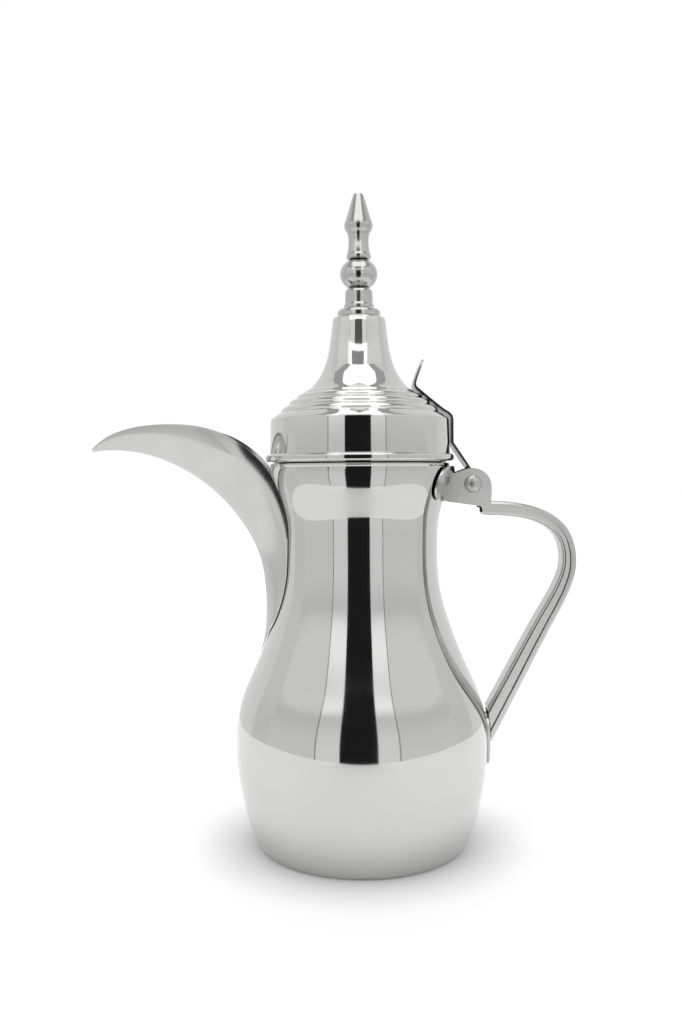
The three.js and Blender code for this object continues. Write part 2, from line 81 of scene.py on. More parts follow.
WALL = 0.9
GAP = 0.3
RIM_Z = mm_box("body_shell")[1][2]
RIM_RADIUS = 39.9
LID_Z = mm_box("lid_dome")[0][2]
LID_TOP_Z = mm_box("lid_dome")[1][2]
BEAD_RADIUS = mm_box("lid_dome")[1][0]
PIN_JOINT = next(j for j in frame["record"]["behaviour"]["joints"] if j["name"] == "lid_hinge")
PIN_X, _, PIN_Z = [v / MM for v in PIN_JOINT["pos_m"]]
RIVET_SHANK = 2.0
BORE_RADIUS = 2.3


# ---- Curves, in millimetres ----
def spline(pairs, count):
    """count + 1 points on a curve of continuous curvature through the pairs."""
    points = np.array(pairs, float)
    steps = np.linalg.norm(np.diff(points, axis=0), axis=1)
    knots = np.concatenate([[0], np.cumsum(steps)])
    size = len(points)
    matrix = np.zeros((size, size))
    right = np.zeros((size, 2))
    matrix[0, :2] = [1, -1]
    matrix[-1, -2:] = [-1, 1]
    for i in range(1, size - 1):
        before, after = steps[i - 1], steps[i]
        matrix[i, i - 1:i + 2] = [before, 2 * (before + after), after]
        slope_after = (points[i + 1] - points[i]) / after
        slope_before = (points[i] - points[i - 1]) / before
        right[i] = 6 * (slope_after - slope_before)
    bend = np.linalg.solve(matrix, right)
    result = []
    for t in np.linspace(0, knots[-1], count + 1):
        i = int(min(np.searchsorted(knots, t, side="right") - 1, size - 2))
        h = steps[i]
        a, b = (knots[i + 1] - t) / h, (t - knots[i]) / h
        curve = (a**3 - a) * bend[i] + (b**3 - b) * bend[i + 1]
        result.append(a * points[i] + b * points[i + 1] + curve * h * h / 6)
    return result


def arc(centre_x, centre_y, radius, start, end, steps):
    """Points on an arc; the angles are in degrees."""
    angles = [math.radians(start + (end - start) * i / steps) for i in range(steps + 1)]
    return [(centre_x + radius * math.cos(a), centre_y + radius * math.sin(a)) for a in angles]


def offset(line, distance):
    """The open line moved to its left by distance."""
    points = [np.array(p, float) for p in line]
    moved = []
    for i, point in enumerate(points):
        along = points[min(i + 1, len(points) - 1)] - points[max(i - 1, 0)]
        along /= np.linalg.norm(along)
        moved.append((point[0] - along[1] * distance, point[1] + along[0] * distance))
    return moved


def rounded(outline, radius, steps=3, closed=True):
    """The outline with each sharp corner turned into a small arc."""
    points = [np.array(p, float) for p in outline]
    count = len(points)
    result = []
    for i, point in enumerate(points):
        ends = not closed and i in (0, count - 1)
        before, after = points[i - 1] - point, points[(i + 1) % count] - point
        reach_before, reach_after = np.linalg.norm(before), np.linalg.norm(after)
        if ends or reach_before < 1e-6 or reach_after < 1e-6:
            result.append(tuple(point))
            continue
        before, after = before / reach_before, after / reach_after
        turn = math.pi - math.acos(max(-1, min(1, float(before @ after))))
        if turn < math.radians(14):
            result.append(tuple(point))
            continue
        reach = min(radius * math.tan(turn / 2), 0.45 * reach_before, 0.45 * reach_after)
        start, end = point + before * reach, point + after * reach
        for k in range(steps + 1):
            t = k / steps
            result.append(tuple((1 - t) ** 2 * start + 2 * t * (1 - t) * point + t * t * end))
    return result


def lookup(table, key):
    """Linear interpolation in (key, value) pairs with rising keys."""
    keys, values = zip(*table)
    return float(np.interp(key, keys, values))


# ---- Meshes ----
def make(name, body, slot, build, replaces=()):
    """A piece from a bmesh in millimetres, riding on a body."""
    mesh = bpy.data.meshes.new(name)
    bmesh.ops.scale(build, vec=(MM, MM, MM), verts=build.verts)
    build.to_mesh(mesh)
    build.free()
    piece = bpy.data.objects.new(name, mesh)
    scene.collection.objects.link(piece)
    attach(piece, body)
    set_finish(piece, slot)
    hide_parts(*replaces)
    return piece


def lathe(profile, segments=192, closed=True):
    """A bmesh of the (radius, height) profile turned about Z. Points on the axis become one vertex."""
    build = bmesh.new()
    rings = []
    for radius, height in profile:
        if radius < 1e-6:
            rings.append([build.verts.new((0, 0, height))])
            continue
        angles = [2 * math.pi * k / segments for k in range(segments)]
        rings.append([build.verts.new((radius * math.cos(a), radius * math.sin(a), height)) for a in angles])
    pairs = list(zip(rings, rings[1:]))
    if closed:
        pairs.append((rings[-1], rings[0]))
    for lower, upper in pairs:
        for k in range(segments):
            n = (k + 1) % segments
            corners = [lower[k % len(lower)], lower[n % len(lower)]]
            corners += [upper[n % len(upper)], upper[k % len(upper)]]
            unique = list(dict.fromkeys(corners))
            if len(unique) > 2:
                build.faces.new(unique)
    bmesh.ops.recalc_face_normals(build, faces=build.faces)
    return build


def loft(rings):
    """A closed bmesh skin through rings that all hold the same number of points."""
    build = bmesh.new()
    loops = [[build.verts.new(p) for p in ring] for ring in rings]
    count = len(loops[0])
    for lower, upper in zip(loops, loops[1:]):
        for k in range(count):
            n = (k + 1) % count
            build.faces.new([lower[k], lower[n], upper[n], upper[k]])
    half = count // 2
    for ring in (loops[0], loops[-1]):
        for k in range(half - 1):
            build.faces.new([ring[k], ring[k + 1], ring[count - 2 - k], ring[count - 1 - k]])
    bmesh.ops.recalc_face_normals(build, faces=build.faces)
    return build


def prism(outline, matrix, depth):
    """A bmesh of the flat outline pulled to depth along its own Z, then placed by the matrix."""
    build = bmesh.new()
    base = [build.verts.new((x, y, 0)) for x, y in outline]
    top = [build.verts.new((x, y, depth)) for x, y in outline]
    build.faces.new(base)
    build.faces.new(top)
    for k in range(len(base)):
        n = (k + 1) % len(base)
        build.faces.new([base[k], base[n], top[n], top[k]])
    bmesh.ops.recalc_face_normals(build, faces=build.faces)
    bmesh.ops.transform(build, matrix=matrix, verts=build.verts)
    return build


def plate_xz(outline, width, centre_y=0):
    """An outline in the XZ plane given thickness along Y."""
    turn = Matrix(((1, 0, 0, 0), (0, 0, -1, centre_y + width / 2), (0, 1, 0, 0), (0, 0, 0, 1)))
    return prism(outline, turn, width)


def plate_yz(outline, from_x, to_x):
    """An outline in the YZ plane given thickness along X."""
    turn = Matrix(((0, 0, 1, from_x), (1, 0, 0, 0), (0, 1, 0, 0), (0, 0, 0, 1)))
    return prism(outline, turn, to_x - from_x)


def combine(first, *steps):
    """Boolean steps ("UNION", "DIFFERENCE" or "INTERSECT", bmesh) on a bmesh; every input is used up."""
    made = []
    for build in [first, *[other for _, other in steps]]:
        mesh = bpy.data.meshes.new("tool")
        build.to_mesh(mesh)
        build.free()
        made.append(bpy.data.objects.new("tool", mesh))
        scene.collection.objects.link(made[-1])
    for (operation, _), tool in zip(steps, made[1:]):
        modifier = made[0].modifiers.new("cut", "BOOLEAN")
        modifier.operation = operation
        modifier.solver = "EXACT"
        modifier.object = tool
    bpy.context.view_layer.update()
    evaluated = made[0].evaluated_get(bpy.context.evaluated_depsgraph_get())
    result = bmesh.new()
    result.from_mesh(evaluated.to_mesh())
    bmesh.ops.remove_doubles(result, verts=result.verts, dist=1e-4)
    bmesh.ops.dissolve_degenerate(result, edges=result.edges, dist=1e-4)
    evaluated.to_mesh_clear()
    for tool in made:
        mesh = tool.data
        bpy.data.objects.remove(tool)
        bpy.data.meshes.remove(mesh)
    return result


def shade(piece, sharp_degrees=32, bevel_mm=0.0):
    """Smooth shading with crisp edges, on slightly rounded corners if bevel_mm is given."""
    piece.data.shade_smooth()
    if bevel_mm:
        bevel = piece.modifiers.new("edges", "BEVEL")
        bevel.width = bevel_mm * MM
        bevel.segments = 2
        bevel.limit_method = "ANGLE"
        bevel.angle_limit = math.radians(35)
        bevel.harden_normals = True
        return
    piece.data.set_sharp_from_angle(angle=math.radians(sharp_degrees))


def weighted(piece):
    """Smooth shading that keeps large faces flat beside small fillets."""
    piece.data.shade_smooth()
    modifier = piece.modifiers.new("normals", "WEIGHTED_NORMAL")
    modifier.weight = 80
    modifier.keep_sharp = True


# ---- Vessel ----
FOOT_RADIUS = 45.9
VESSEL_OUTLINE = [
    (46.9, 1.1), (50.7, 10), (53.1, 20), (55.1, 31), (56.0, 43), (55.5, 54), (53.2, 63.5),
    (46.2, 80), (39.3, 98), (35.6, 112), (34.5, 123), (34.5, 132), (34.7, 139), (35.4, 144.5),
    (37.2, 151.5), (39.2, 158.9), (39.85, 162.3), (RIM_RADIUS, 166.6),
]
vessel_curve = spline(VESSEL_OUTLINE, 120)


def envelope(clearance, stretch=1.0):
    """Everything inside the vessel's outer skin, grown by clearance: fittings are trimmed against it."""
    grown = offset(vessel_curve, -clearance)
    profile = [(0, -5), (grown[0][0], -5), *grown, (grown[-1][0], RIM_Z + 1), (0, RIM_Z + 1)]
    build = lathe(profile, 192, closed=False)
    bmesh.ops.scale(build, vec=(stretch, 1, 1), verts=build.verts)
    return build


def vessel():
    inside = list(reversed(offset(vessel_curve, WALL)))
    inside = [p for p in inside if WALL + 1.5 < p[1] < RIM_Z - 1.6]
    foot = rounded([(40, WALL), (40, 0), (FOOT_RADIUS, 0), vessel_curve[0]], 0.5, 3, closed=False)
    lip = [
        (RIM_RADIUS, 166.6), (RIM_RADIUS + 0.28, RIM_Z - 1.0), (RIM_RADIUS + 0.3, RIM_Z - 0.6),
        (RIM_RADIUS + 0.1, RIM_Z - 0.2), (RIM_RADIUS - 0.3, RIM_Z), (RIM_RADIUS - 0.8, RIM_Z - 0.05),
        (RIM_RADIUS - 1.05, RIM_Z - 0.4), (RIM_RADIUS - 1.05, RIM_Z - 1.0),
    ]
    bottom = [(45.2, WALL + 0.6), (44.4, WALL)]
    build = lathe([*foot, *vessel_curve[1:-1], *lip, *inside, *bottom])
    holes = bmesh.new()
    for row in range(5):
        for step in ((-0.5, 0.5) if row % 2 else (-1, 0, 1)):
            place = Matrix.Translation((-35, step * 7, 112 + row * 8)) @ Matrix.Rotation(math.pi / 2, 4, "Y")
            bmesh.ops.create_cone(
                holes, cap_ends=True, segments=24, radius1=1.9, radius2=1.9, depth=30, matrix=place
            )
    build = combine(build, ("DIFFERENCE", holes))
    piece = make("pot_body", "pot", "polished_steel", build, ["body_shell"])
    skin_normals(piece, vessel_curve)
    return piece


def skin_normals(piece, curve):
    """Exact normals of the turned skin, so that the holes cut through it don't disturb its reflections."""
    points = np.array(curve) * MM
    slopes = np.gradient(points, axis=0)
    mesh = piece.data
    mesh.shade_smooth()
    normals = []
    for polygon in mesh.polygons:
        for index in polygon.vertices:
            x, y, z = mesh.vertices[index].co
            slope_r = np.interp(z, points[:, 1], slopes[:, 0])
            slope_z = np.interp(z, points[:, 1], slopes[:, 1])
            radial = Vector((x, y, 0)).normalized()
            exact = (radial * slope_z - Vector((0, 0, slope_r))).normalized()
            facing = exact.dot(polygon.normal)
            usable = abs(facing) > 0.94 and points[0, 1] < z < points[-1, 1]
            normals.append(tuple(exact * math.copysign(1, facing) if usable else polygon.normal))
    mesh.normals_split_custom_set(normals)


def base_plate():
    outline = [
        (0, 0), (39.7, 0), (39.7, WALL + GAP), (43.2, WALL + GAP), (43.2, 2 * WALL + GAP),
        (38.6, 2 * WALL + GAP), (38.6, WALL), (0, WALL),
    ]
    piece = make(
        "pot_base", "pot", "polished_steel", lathe(rounded(outline, 0.35, 3, closed=False), closed=False),
        ["base_plate"],
    )
    weighted(piece)
    return piece


# ---- Spout ----
SPOUT_SHEET = 1.0
SPOUT_SEAM = 0.06
SPOUT_STATIONS = 150
SPOUT_ACROSS = 22
keel_curve = spline(
    [
        (-120.2, 174.0), (-110.0, 174.7), (-96.5, 172.9), (-78.0, 165.3), (-65.3, 156.2),
        (-53.5, 142.7), (-46.0, 129.2), (-42.8, 114.0), (-42.4, 101.0), (-43.2, 91.5), (-45.2, 83.8),
    ],
    SPOUT_STATIONS,
)
edge_curve = spline(
    [
        (-120.3, 175.2), (-113.4, 180.2), (-103.5, 183.8), (-91.0, 185.5), (-76.8, 185.3), (-61.3, 181.9),
        (-49.8, 175.1), (-39.6, 164.0), (-33.6, 149.0), (-31.0, 130.0), (-33.6, 111.0), (-43.6, 83.6),
    ],
    SPOUT_STATIONS,
)
width_curve = spline(
    [(0, 0.8), (0.12, 7.5), (0.25, 13.5), (0.42, 18.4), (0.6, 14.8), (0.8, 12.6), (0.92, 8.5), (1, 1.6)],
    200,
)


def spout_ring(station, side):
    keel, edge = keel_curve[station], edge_curve[station]
    half_width = lookup([tuple(p) for p in width_curve], station / SPOUT_STATIONS)
    depth = float(np.linalg.norm(edge - keel))
    inset = min(SPOUT_SHEET, depth * 0.4, half_width * 0.5)

    def point(share, inset_by):
        rise = math.sin(math.pi / 2 * share) ** 0.75
        along = min((share * depth + inset_by * (1 - share)) / depth, 1)
        y = max(half_width * rise - inset_by, SPOUT_SEAM)
        x, z = keel + (edge - keel) * along
        return (x, y * side, z)

    shares = [(i / SPOUT_ACROSS) ** 1.25 for i in range(SPOUT_ACROSS + 1)]
    outside = [point(share, 0) for share in shares]
    inside = [point(share, inset) for share in reversed(shares)]
    x, _, z = inside[-1]
    inside[-1] = (x, SPOUT_SEAM * side, z)
    return [*outside, *inside]


def spout_half(name, side, node):
    rings = [spout_ring(i, side) for i in range(SPOUT_STATIONS + 1)]
    build = combine(loft(rings), ("DIFFERENCE", envelope(GAP)))
    piece = make(name, "pot", "satin_steel", build, [node])
    shade(piece, 35)
    return piece


# ---- Hinge bracket and rivet ----
CHEEK_INNER = 7.4
CHEEK_SHEET = 1.5
bracket_outer = CHEEK_INNER + CHEEK_SHEET
EAR = {"reach": 24.5, "radius": 7.7, "z": 158.9, "sheet": 1.2, "flare": 1.055}


def bracket():
    outline = [
        (38.2, 150.9), (53.4, 148.8), (53.8, 147.7), (57.6, 147.6),
        *arc(49.5, 157.3, 8.4, 0, 112, 24), (41.2, 163.2), (38.2, 163.4),
    ]
    cheeks = [plate_xz(outline, CHEEK_SHEET, s * (CHEEK_INNER + CHEEK_SHEET / 2)) for s in (-1, 1)]
    web = plate_xz([(39.5, 150.8), (53.2, 148.9), (53.2, 150.2), (39.5, 152.1)], 2 * CHEEK_INNER + 1)
    centre = EAR["reach"] - EAR["radius"]
    lobes = [
        *arc(centre, EAR["z"], EAR["radius"], -90, 90, 28),
        *arc(-centre, EAR["z"], EAR["radius"], 90, 270, 28),
    ]
    inner_flare = EAR["flare"] - EAR["sheet"] / RIM_RADIUS
    saddle = combine(
        plate_yz(lobes, 25, 60),
        ("INTERSECT", envelope(GAP, EAR["flare"])),
        ("DIFFERENCE", envelope(GAP, inner_flare)),
    )
    bore = bmesh.new()
    place = Matrix.Translation((PIN_X, 0, PIN_Z)) @ Matrix.Rotation(math.pi / 2, 4, "X")
    bmesh.ops.create_cone(
        bore, cap_ends=True, segments=48, radius1=BORE_RADIUS, radius2=BORE_RADIUS, depth=60, matrix=place
    )
    build = combine(
        cheeks[0],
        ("UNION", cheeks[1]),
        ("UNION", web),
        ("UNION", saddle),
        ("DIFFERENCE", envelope(GAP)),
        ("DIFFERENCE", bore),
    )
    piece = make("bracket", "pot", "satin_steel", build, ["hinge_bracket"])
    shade(piece, bevel_mm=0.22)
    return piece


def rivet():
    seat = bracket_outer + 0.1
    dome = [(3.9 * math.cos(a), seat + 2.4 * math.sin(a)) for a in np.linspace(0.12, math.pi / 2, 14)]
    dome[-1] = (0, seat + 2.4)
    half = [(RIVET_SHANK, seat), (3.75, seat), *dome]
    profile = [(r, -y) for r, y in reversed(half)] + half
    build = lathe(profile, 64, closed=False)
    place = Matrix.Translation((PIN_X, 0, PIN_Z)) @ Matrix.Rotation(math.pi / 2, 4, "X")
    bmesh.ops.transform(build, matrix=place, verts=build.verts)
    piece = make("hinge_pin", "pot", "plain_steel", build, ["hinge_rivet"])
    weighted(piece)
    return piece


# ---- Handle ----
HANDLE = {"half_width": 6.8, "sheet": 1.0, "flange": 2.6, "nest": 1.3, "stations": 110}
handle_line = spline(
    [
        (54.2, 150.9), (60.0, 151.0), (70.6, 150.1), (79.0, 148.0), (85.9, 144.6), (92.1, 138.6),
        (95.4, 130.0), (95.8, 122.0), (93.4, 112.6), (85.7, 97.3), (74.9, 76.9), (64.1, 56.4), (52.5, 34.5),
    ],
    HANDLE["stations"],
)
HANDLE_DEPTHS = [(0, 5.5), (0.12, 6.4), (0.3, 5.9), (0.4, 6.3), (0.6, 7.5), (1, 8.6)]
depth_curve = spline(HANDLE_DEPTHS, 100)
FOOT_SHEET = 1.0


def outer_section(_):
    w, t, flange = HANDLE["half_width"], HANDLE["sheet"], HANDLE["flange"]
    outside = [(w - 0.1, flange), (w, flange - 0.12), (w, 1.7), *arc(w - 1.6, 1.65, 1.6, 0, -84, 9)[1:]]
    outside = [*outside, (w - 2.6, 0.02), (w - 4.4, 0)]
    inside = [(w - t + 0.1, flange), (w - t, flange - 0.12), (w - t, 1.8)]
    inside = [*inside, *arc(w - t - 0.8, 1.85, 0.8, 0, -84, 9)[1:], (w - 2.8, t), (w - 4.4, t)]
    return outside, inside


def inner_section(depth):
    w, t, flange = HANDLE["half_width"] - HANDLE["nest"], HANDLE["sheet"], HANDLE["flange"]
    start = flange - 0.8
    outside = [(w - 0.1, start), (w, start + 0.12), (w, depth - 1.8)]
    outside = [*outside, *arc(w - 1.7, depth - 1.7, 1.7, 0, 84, 9)[1:], (w - 2.6, depth), (w - 3.8, depth)]
    inside = [(w - t + 0.1, start), (w - t, start + 0.12), (w - t, depth - 1.9)]
    inside = [*inside, *arc(w - t - 0.8, depth - t - 0.8, 0.8, 0, 84, 9)[1:]]
    return outside, [*inside, (w - 2.8, depth - t), (w - 3.8, depth - t)]


def handle_shell(name, section_at, node):
    rings = []
    for station, at in enumerate(handle_line):
        before = handle_line[max(station - 1, 0)]
        after = handle_line[min(station + 1, HANDLE["stations"])]
        along = (after - before) / np.linalg.norm(after - before)
        inward = np.array([along[1], -along[0]])
        share = station / HANDLE["stations"]
        outside, inside = section_at(lookup([tuple(p) for p in depth_curve], share))
        walk = [*outside, *[(-y, n) for y, n in reversed(outside)]]
        walk = [*walk, *[(-y, n) for y, n in inside], *reversed(inside)]
        rings.append([(at[0] + inward[0] * n, y, at[1] + inward[1] * n) for y, n in walk])
    build = combine(loft(rings), ("DIFFERENCE", envelope(2 * GAP + FOOT_SHEET)))
    piece = make(name, "pot", "satin_steel", build, [node])
    shade(piece, 38)
    return piece


def handle_foot():
    half_width, top, bottom = 7.2, 56, 33
    outline = [
        *arc(0, top - half_width, half_width, 0, 180, 30),
        *arc(0, bottom + half_width, half_width, 180, 360, 30),
    ]
    build = combine(
        plate_yz(outline, 30, 70),
        ("INTERSECT", envelope(GAP + FOOT_SHEET)),
        ("DIFFERENCE", envelope(GAP)),
    )
    piece = make("handle_foot_plate", "pot", "satin_steel", build, ["handle_foot"])
    shade(piece, bevel_mm=0.2)
    return piece


# ---- Lid ----
SKIRT = {"bottom_r": 40.25, "top_r": 39.9, "bottom_z": 172.2, "top_z": 187.2}
cone_curve = list(reversed(spline(
    [(24.6, 200.2), (21.9, 202.0), (19.3, 204.9), (16.3, 210.0), (14.0, 217.0), (12.7, 225.0), (12.0, 231.2)],
    40,
)))
# Each rib: inner radius, outer radius, top, foot.
RIBS = [(24.6, 28.3, 199.4, 197.0), (28.3, 31.8, 196.8, 193.9), (31.8, 35.4, 193.7, 190.4)]
SHOULDER = [(37.0, 189.9), (38.0, 189.1), (38.9, 188.5), (39.6, 187.9), (SKIRT["top_r"], SKIRT["top_z"])]


def rib_curve(inner, outer, top, foot):
    """A rounded step that ends in a soft groove."""
    angles = [math.radians(80 - 76 * i / 12) for i in range(13)]
    return [(inner + (outer - inner) * math.cos(a), foot + (top - foot) * math.sin(a)) for a in angles]


def lid_dome():
    outside = [
        (BORE_RADIUS, LID_TOP_Z), (10.6, LID_TOP_Z), *arc(10.7, LID_TOP_Z - 1.1, 1.1, 84, 12, 6),
        *[tuple(p) for p in cone_curve],
        *[p for rib in RIBS for p in rib_curve(*rib)],
        *rounded(SHOULDER, 0.8, 4, closed=False),
        (SKIRT["bottom_r"], SKIRT["bottom_z"] + 0.25),
        (SKIRT["bottom_r"] + 0.25, SKIRT["bottom_z"]),
        *arc(BEAD_RADIUS - 1.2, SKIRT["bottom_z"] - 1.3, 1.2, 90, 0, 7),
        *arc(BEAD_RADIUS - 1.1, LID_Z + 1.1, 1.1, 0, -90, 7),
    ]
    inside = [
        (39.3, LID_Z), (39.3, SKIRT["bottom_z"]), (39.0, 186.4), (38.3, 187.3), (36.6, 188.3),
        (34.0, 190.5), (30.6, 193.2), (27.2, 195.9), (24.0, 198.9), (21.2, 201.1), (18.3, 204.4),
        (15.3, 209.7), (13.0, 217.0), (11.7, 225.0), (11.0, 231.6), (10.4, LID_TOP_Z - WALL),
        (BORE_RADIUS, LID_TOP_Z - WALL),
    ]
    piece = make("lid_shell", "lid", "polished_steel", lathe([*outside, *inside]), ["lid_dome"])
    weighted(piece)
    return piece


def seat_ring():
    bottom = RIM_Z + GAP
    outline = [
        (35.5, 165.8), (36.4, 165.8), (36.4, bottom),
        (39.0, bottom), (39.0, bottom + WALL), (35.5, bottom + WALL),
    ]
    build = lathe(rounded(outline, 0.3))
    piece = make("lid_seat", "lid", "polished_steel", build, ["lid_seat_ring"])
    weighted(piece)
    return piece


STRAP = {"thickness": 1.0, "half_width": 7.0, "barrel": 2.9}
TAB = {"half_width": 8.8, "corner": 6.5, "top_z": 214.6}


def strap():
    strap_x = SKIRT["top_r"] + 0.25 + GAP + STRAP["thickness"] / 2
    bend = [
        (28.4, 214.4), (26.7, 210.4), (25.2, 206.2), (24.4, 203.6), (24.5, 202.1), (25.6, 200.9),
        (29.0, 198.2), (33.0, 194.9), (36.6, 192.0), (39.4, 190.2), (40.6, 189.0), (strap_x, 187.4),
        (strap_x, 177.0),
    ]
    to_pin = Vector((PIN_X - strap_x, PIN_Z - bend[-1][1]))
    lean = math.asin(STRAP["barrel"] / to_pin.length)
    heading = math.degrees(math.atan2(to_pin.y, to_pin.x) + lean)
    barrel = arc(PIN_X, PIN_Z, STRAP["barrel"], heading + 90, heading - 210, 40)
    middle = rounded([*bend, barrel[0]], 2.2, 6, closed=False)[:-1] + barrel
    half = STRAP["thickness"] / 2
    outline = [*offset(middle, half), *reversed(offset(middle, -half))]
    w = STRAP["half_width"]
    side, corner, top = TAB["half_width"], TAB["corner"], TAB["top_z"]
    half_plan = [(w, 150), (w, 198), (side, 203), *arc(side - corner, top - corner, corner, 0, 90, 16)]
    plan = [*half_plan, *[(-y, z) for y, z in reversed(half_plan)]]
    build = combine(plate_xz(outline, 2 * w + 2), ("INTERSECT", plate_yz(plan, 10, 70)))
    # the darkened_steel finish holds painted shade: its near-black base colour stands in for the strap's dark
    # reflection
    piece = make("lid_lift_strap", "lid", "darkened_steel", build, ["lid_strap"])
    shade(piece, bevel_mm=0.1)
    return piece


# ---- Finial ----
BALL_SQUASH = 0.87


def turned_piece(name, node, outline, fillet=0.3, closed=True, segments=96):
    build = lathe(rounded(outline, fillet, 4, closed), segments, closed)
    piece = make(name, "lid", "turned_steel", build, [node])
    weighted(piece)
    return piece


def finial():
    washer = mm_box("finial_washer")[0][2]
    turned_piece("finial_base", "finial_washer", [
        (BORE_RADIUS, washer), (9.6, washer), (9.7, washer + 2.2), (9.1, washer + 3.2),
        (8.2, washer + 3.7), (BORE_RADIUS, washer + 3.7),
    ], fillet=0.7)
    collar, collar_top = mm_box("finial_collar")[0][2], mm_box("finial_collar")[1][2]
    turned_piece("finial_neck", "finial_collar", [
        (BORE_RADIUS, collar), (6.8, collar), (6.7, collar + 1.6), (6.25, collar + 2.6),
        (6.15, collar + 7.6), (5.7, collar + 8.6), (5.0, collar_top), (BORE_RADIUS, collar_top),
    ], fillet=0.5)
    low, high = mm_box("finial_ball")
    middle = (low[2] + high[2]) / 2
    radius = high[0]
    reach = math.degrees(math.asin((middle - low[2]) / (radius * BALL_SQUASH)))
    face = [(r, middle + BALL_SQUASH * z) for r, z in arc(0, 0, radius, -reach, reach, 40)]
    turned_piece(
        "finial_sphere", "finial_ball", [*face, (BORE_RADIUS, high[2]), (BORE_RADIUS, low[2])], fillet=0.15,
    )
    base, top = mm_box("finial_spike")[0][2], mm_box("finial_spike")[1][2]
    stud_top = mm_box("finial_stud")[1][2]
    waist = spline([
        (5.5, base + 1.8), (5.05, base + 3.0), (4.8, base + 4.5), (4.57, base + 7.2), (4.6, base + 9.9),
        (5.0, base + 11.7), (5.8, base + 13.2), (6.4, base + 14.8),
    ], 30)
    turned_piece("finial_point", "finial_spike", [
        (0, stud_top + GAP), (BORE_RADIUS, stud_top + GAP), (BORE_RADIUS, base), (4.8, base),
        (5.45, base + 0.6), *[tuple(p) for p in waist], (6.4, base + 15.8), (6.05, base + 17.0),
        (4.66, base + 21.2), (3.17, base + 26.5), (2.2, top - 0.4), (1.8, top), (0, top),
    ], fillet=0.35, closed=False)


# ---- Materials ----
def shader(name, colour, metallic=1.0):
    material = bpy.data.materials.new(name)
    material.use_nodes = True
    nodes, links = material.node_tree.nodes, material.node_tree.links
    principled = nodes["Principled BSDF"]
    principled.inputs["Base Color"].default_value = (*colour, 1)
    principled.inputs["Metallic"].default_value = metallic
    return material, nodes, links, principled


def noise(nodes, links, scale, stretch=(1, 1, 1), detail=3.0, roughness=0.5):
    """The factor of a noise over the object's own coordinates."""
    place = nodes.new("ShaderNodeTexCoord")
    mapping = nodes.new("ShaderNodeMapping")
    mapping.inputs["Scale"].default_value = stretch
    texture = nodes.new("ShaderNodeTexNoise")
    texture.inputs["Scale"].default_value = scale
    texture.inputs["Detail"].default_value = detail
    texture.inputs["Roughness"].default_value = roughness
    links.new(place.outputs["Object"], mapping.inputs["Vector"])
    links.new(mapping.outputs["Vector"], texture.inputs["Vector"])
    return texture.outputs["Fac"]


def ramp(nodes, links, source, low, high, out_low, out_high):
    """The source mapped from low..high to out_low..out_high."""
    node = nodes.new("ShaderNodeMapRange")
    node.inputs["From Min"].default_value = low
    node.inputs["From Max"].default_value = high
    node.inputs["To Min"].default_value = out_low
    node.inputs["To Max"].default_value = out_high
    links.new(source, node.inputs["Value"])
    return node.outputs["Result"]


def add(nodes, links, first, second):
    node = nodes.new("ShaderNodeMath")
    node.operation = "ADD"
    links.new(first, node.inputs[0])
    links.new(second, node.inputs[1])
    return node.outputs["Value"]


def bump(nodes, links, principled, height, distance, strength=1.0):
    node = nodes.new("ShaderNodeBump")
    node.inputs["Strength"].default_value = strength
    node.inputs["Distance"].default_value = distance
    links.new(height, node.inputs["Height"])
    links.new(node.outputs["Normal"], principled.inputs["Normal"])


def two_tone(nodes, links, principled, factor, first, second):
    """Base colour that goes from the first to the second with the factor."""
    mix = nodes.new("ShaderNodeMix")
    mix.data_type = "RGBA"
    mix.inputs["A"].default_value = (*first, 1)
    mix.inputs["B"].default_value = (*second, 1)
    links.new(factor, mix.inputs["Factor"])
    links.new(mix.outputs["Result"], principled.inputs["Base Color"])


def polished_steel():
    """Mirror-polished sheet: faint buffing haze, smudges and a slight waviness."""
    material, nodes, links, principled = shader("polished_steel", (0.62, 0.62, 0.615))
    haze = ramp(nodes, links, noise(nodes, links, 28, detail=5), 0.35, 0.75, 0.035, 0.075)
    rings = ramp(nodes, links, noise(nodes, links, 60, (0.4, 0.4, 30), 2), 0.4, 0.7, 0.0, 0.02)
    links.new(add(nodes, links, haze, rings), principled.inputs["Roughness"])
    tint = ramp(nodes, links, noise(nodes, links, 9, detail=4), 0.3, 0.7, 0.0, 1.0)
    two_tone(nodes, links, principled, tint, (0.60, 0.60, 0.595), (0.645, 0.645, 0.64))
    waves = noise(nodes, links, 16, (1, 1, 1.6), 1.0)
    bump(nodes, links, principled, waves, 0.00012)
    return material


def turned_steel():
    """Lathe-turned and lightly polished: softer reflections and fine turning rings."""
    material, nodes, links, principled = shader("turned_steel", (0.5, 0.5, 0.495))
    haze = ramp(nodes, links, noise(nodes, links, 70, detail=4), 0.3, 0.7, 0.10, 0.16)
    rings = ramp(nodes, links, noise(nodes, links, 400, (0.1, 0.1, 4), 2), 0.4, 0.7, 0.0, 0.05)
    links.new(add(nodes, links, haze, rings), principled.inputs["Roughness"])
    bump(nodes, links, principled, noise(nodes, links, 700, (0.05, 0.05, 2), 2), 0.00001, 0.4)
    return material


